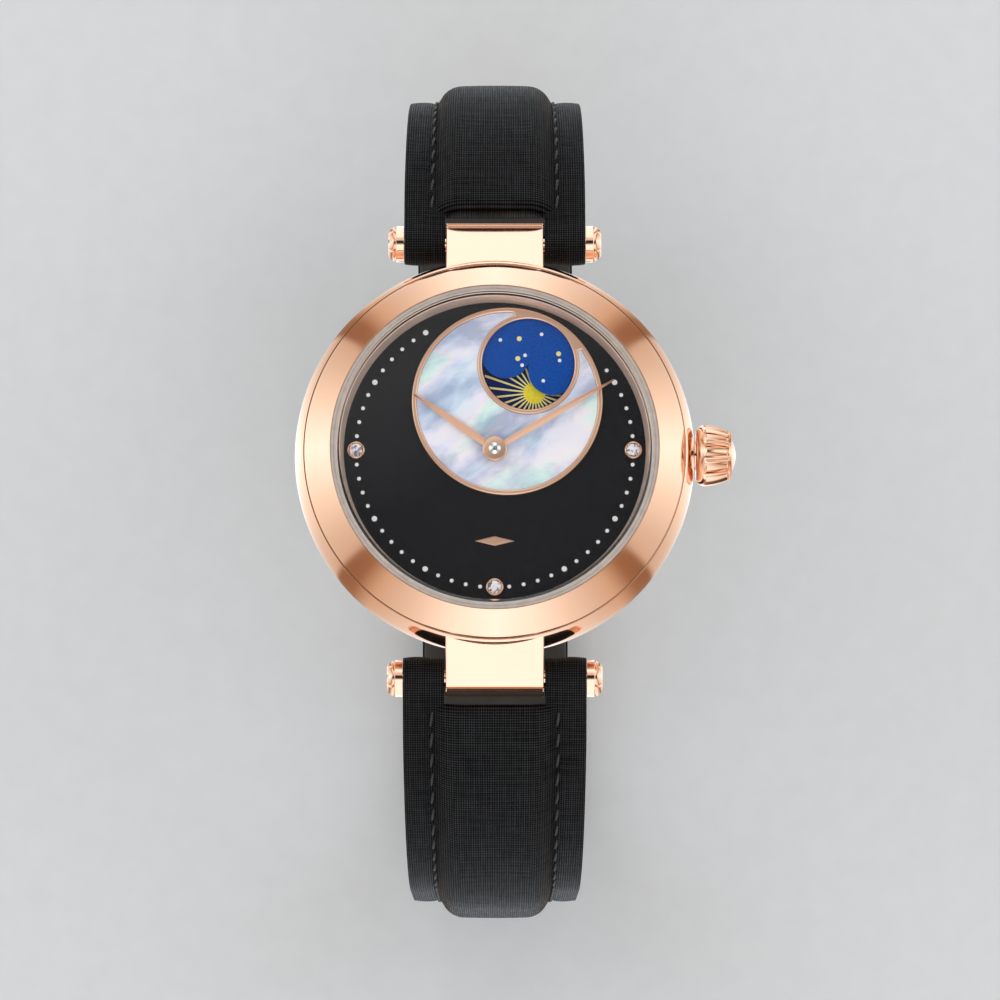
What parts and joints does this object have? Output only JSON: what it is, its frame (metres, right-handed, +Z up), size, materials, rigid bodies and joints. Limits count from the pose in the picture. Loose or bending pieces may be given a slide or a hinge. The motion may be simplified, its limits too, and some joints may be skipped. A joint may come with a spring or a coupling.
{
  "type": "moon phase wristwatch",
  "caption": "Round wristwatch with a crescent dial, a turning sun and moon disc under a star cover, screw-bar lugs, a ribbed crown and a padded cloth strap.",
  "frame": {"origin": "on the table under the dial's centre, at the flat run of the 6 o'clock strap", "axes": "+Z up out of the dial, +Y towards 12 o'clock, +X towards the crown at 3 o'clock"},
  "size_m": [0.0386, 0.0752, 0.0545],
  "materials": {
    "rose_gold": "polished 18 k rose gold",
    "sapphire": "clear sapphire",
    "seal": "pale nylon and dark rubber seals",
    "black_dial": "glossy black lacquer",
    "pearl": "mother-of-pearl",
    "star_blue": "blue with printed stars",
    "sun_moon": "navy with printed sun and moon",
    "stone": "brilliant-cut clear stones",
    "steel": "polished steel",
    "nickel": "rhodium-plated plates with circular graining",
    "gilt": "gilt brass",
    "strap_cloth": "black satin cloth over padding",
    "lining": "dark calf lining"
  },
  "bodies": {
    "case": {"case_body": "rose_gold", "bezel": "rose_gold", "crystal": "sapphire", "crystal_gasket": "seal", "flange_ring": "rose_gold", "dial_plate": "black_dial", "crescent_frame": "rose_gold", "pearl_crescent": "pearl", "star_cover": "star_blue", "gem_cups": "rose_gold", "gems": "stone", "dial_lozenge": "rose_gold", "movement_ring": "nickel", "main_plate": "nickel", "barrel_bridge": "nickel", "train_bridge": "nickel", "balance_cock": "nickel", "rotor_bearing": "steel", "crown_tube": "rose_gold", "case_back": "rose_gold", "back_glass": "sapphire", "back_gasket": "seal", "back_screws": "steel", "lug_bar_12": "rose_gold", "bar_nut_12": "rose_gold", "lug_bar_6": "rose_gold", "bar_nut_6": "rose_gold"},
    "minute": {"cannon_pinion": "gilt", "minute_hand": "rose_gold", "hand_cap": "steel"},
    "hour": {"hour_wheel": "gilt", "hour_hand": "rose_gold"},
    "minute_wheel": {"minute_wheel": "gilt"},
    "moon_disc": {"disc_wheel": "gilt", "sun_moon_disc": "sun_moon"},
    "balance": {"balance_wheel": "gilt"},
    "rotor": {"rotor_weight": "gilt"},
    "ratchet": {"ratchet_wheel": "steel"},
    "crown_wheel": {"crown_wheel": "steel"},
    "clutch": {"clutch_wheel": "steel"},
    "crown": {"crown": "rose_gold", "winding_stem": "steel", "crown_gasket": "seal"},
    "corrector_right": {"corrector_right": "rose_gold"},
    "corrector_left": {"corrector_left": "rose_gold"},
    "strap_12": {"strap_12": "strap_cloth", "lining_12": "lining", "fixed_keeper": "strap_cloth"},
    "free_keeper": {"free_keeper": "strap_cloth"},
    "buckle": {"buckle_frame": "rose_gold", "buckle_bar": "rose_gold"},
    "tang": {"buckle_tang": "rose_gold"},
    "strap_6": {"strap_6": "strap_cloth", "lining_6": "lining"}
  },
  "joints": [
    {"name": "minute_hand_spin", "type": "hinge", "parent": "case", "child": "minute", "pos_m": [0, 0, 0.05148], "axis": [0, 0, -1], "continuous": true},
    {"name": "hour_hand_spin", "type": "hinge", "parent": "case", "child": "hour", "pos_m": [0, 0, 0.05148], "axis": [0, 0, -1], "continuous": true},
    {"name": "minute_wheel_spin", "type": "hinge", "parent": "case", "child": "minute_wheel", "pos_m": [0, -0.0028, 0.05148], "axis": [0, 0, -1], "continuous": true},
    {"name": "moon_disc_spin", "type": "hinge", "parent": "case", "child": "moon_disc", "pos_m": [0.00293, 0.0076, 0.05148], "axis": [0, 0, -1], "continuous": true},
    {"name": "balance_swing", "type": "hinge", "parent": "case", "child": "balance", "pos_m": [-0.0052, -0.0046, 0.05148], "axis": [0, 0, 1], "range_deg": [-270, 270]},
    {"name": "rotor_spin", "type": "hinge", "parent": "case", "child": "rotor", "pos_m": [0, 0, 0.05148], "axis": [0, 0, 1], "continuous": true},
    {"name": "ratchet_spin", "type": "hinge", "parent": "case", "child": "ratchet", "pos_m": [-0.0005, 0.0063, 0.05148], "axis": [0, 0, 1], "continuous": true},
    {"name": "crown_wheel_spin", "type": "hinge", "parent": "case", "child": "crown_wheel", "pos_m": [0.00494, 0.00376, 0.05148], "axis": [0, 0, 1], "continuous": true},
    {"name": "crown_turn", "type": "hinge", "parent": "case", "child": "clutch", "pos_m": [0, 0, 0.04923], "axis": [1, 0, 0], "continuous": true},
    {"name": "crown_pull", "type": "slide", "parent": "clutch", "child": "crown", "axis": [1, 0, 0], "range_m": [0, 0.001]},
    {"name": "corrector_right_push", "type": "slide", "parent": "case", "child": "corrector_right", "axis": [-0.4067, -0.9135, 0], "range_m": [0, 0.0004], "stiffness_N_per_m": 150},
    {"name": "corrector_left_push", "type": "slide", "parent": "case", "child": "corrector_left", "axis": [0.4067, -0.9135, 0], "range_m": [0, 0.0004], "stiffness_N_per_m": 150},
    {"name": "strap_12_swing", "type": "hinge", "parent": "case", "child": "strap_12", "pos_m": [0, 0.0194, 0.04718], "axis": [1, 0, 0], "range_deg": [0, 45]},
    {"name": "free_keeper_slide", "type": "slide", "parent": "strap_12", "child": "free_keeper", "axis": [0, 1, 0], "range_m": [-0.0012, 0.0014]},
    {"name": "buckle_swing", "type": "hinge", "parent": "strap_12", "child": "buckle", "pos_m": [0, 0.00757, 0.01421], "axis": [-1, 0, 0], "range_deg": [-20, 60]},
    {"name": "tang_swing", "type": "hinge", "parent": "buckle", "child": "tang", "pos_m": [0, 0.00757, 0.01421], "axis": [1, 0, 0], "range_deg": [0, 35]},
    {"name": "strap_6_swing", "type": "hinge", "parent": "case", "child": "strap_6", "pos_m": [0, -0.0194, 0.04718], "axis": [-1, 0, 0], "range_deg": [0, 45]}
  ],
  "couplings": [
    {"joint": "hour_hand_spin", "follows": "minute_hand_spin", "ratio": 0.083333},
    {"joint": "minute_wheel_spin", "follows": "minute_hand_spin", "ratio": -0.33333},
    {"joint": "moon_disc_spin", "follows": "minute_hand_spin", "ratio": -0.041667},
    {"joint": "crown_wheel_spin", "follows": "ratchet_spin", "ratio": -1.5}
  ]
}
